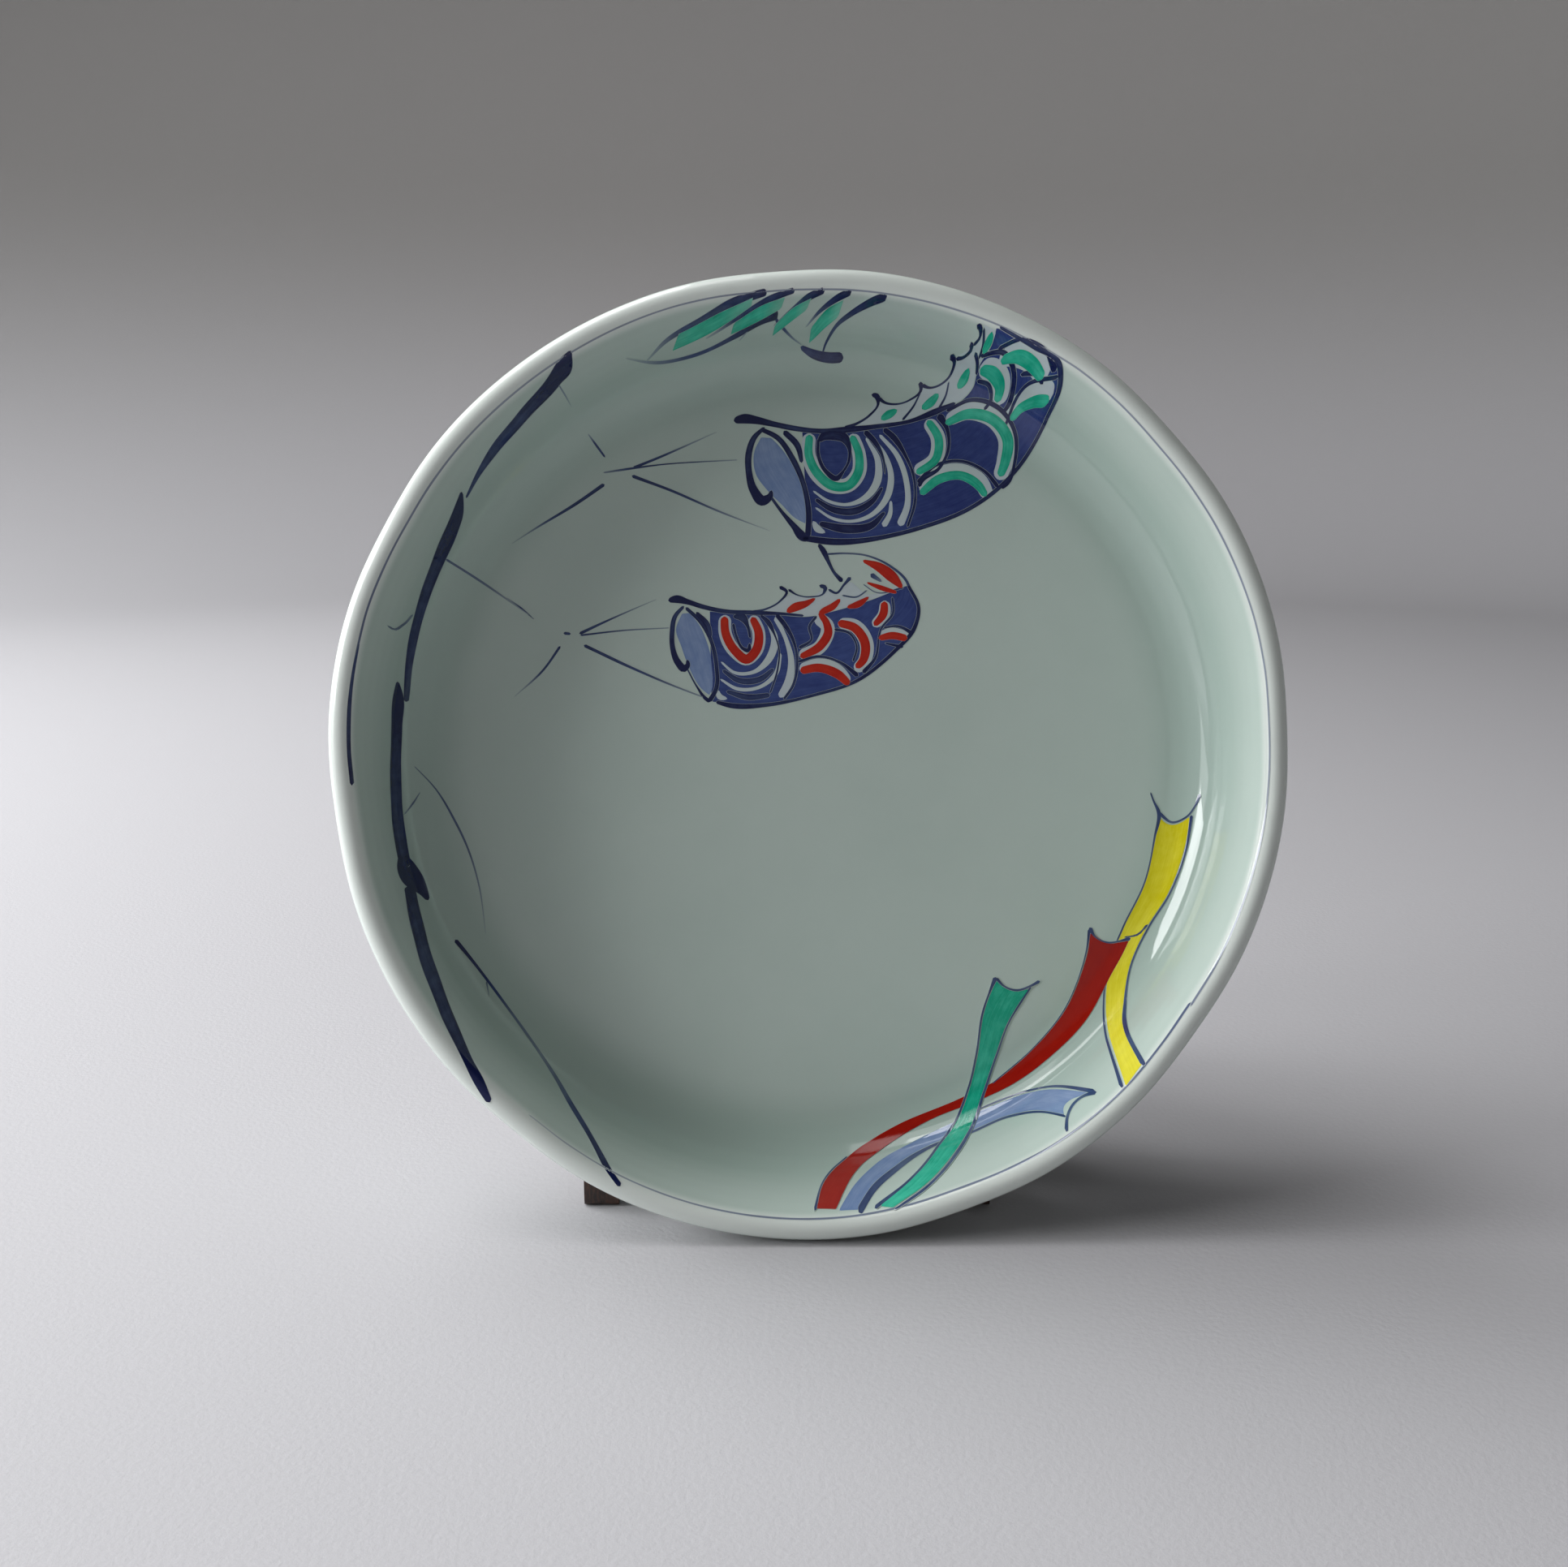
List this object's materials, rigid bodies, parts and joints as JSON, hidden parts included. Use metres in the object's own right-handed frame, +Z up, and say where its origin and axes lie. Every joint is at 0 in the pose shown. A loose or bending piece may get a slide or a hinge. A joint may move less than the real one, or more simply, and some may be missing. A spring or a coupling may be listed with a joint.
{
  "type": "carp streamer dish on a folding stand",
  "caption": "Round porcelain dish painted inside with carp streamers and ribbons, leaning on a small folding wooden easel stand.",
  "frame": {"origin": "bottom centre of the whole object's box, on the table that the stand's feet rest on", "axes": "+X to the viewer's right across the dish, -Y towards the viewer, +Z up; the dish leans back by 12 degrees"},
  "size_m": [0.239, 0.1559, 0.2371],
  "materials": {
    "porcelain": "glossy pale celadon glaze over white porcelain, with cobalt painting under it and coloured enamels on it",
    "dark_wood": "dark reddish-brown stain under satin lacquer",
    "brass": "aged, satin"
  },
  "bodies": {
    "front_frame": {"left_upright": "dark_wood", "right_upright": "dark_wood", "upper_crossbar": "dark_wood", "lower_crossbar": "dark_wood", "left_pivot_rivet": "brass", "right_pivot_rivet": "brass", "left_pivot_washer": "brass", "right_pivot_washer": "brass"},
    "rear_legs": {"left_rear_leg": "dark_wood", "right_rear_leg": "dark_wood", "upper_rung": "dark_wood", "lower_rung": "dark_wood"},
    "dish": {"dish": "porcelain"}
  },
  "joints": [
    {"name": "rear_legs_fold", "type": "hinge", "parent": "front_frame", "child": "rear_legs", "pos_m": [-0.00523, 0.0179, 0.14814], "axis": [-1, 0, 0], "range_deg": [0, 32]},
    {"name": "dish_lift_off", "type": "slide", "parent": "front_frame", "child": "dish", "axis": [0, -0.9781, 0.2079], "range_m": [0, 0.08]}
  ]
}
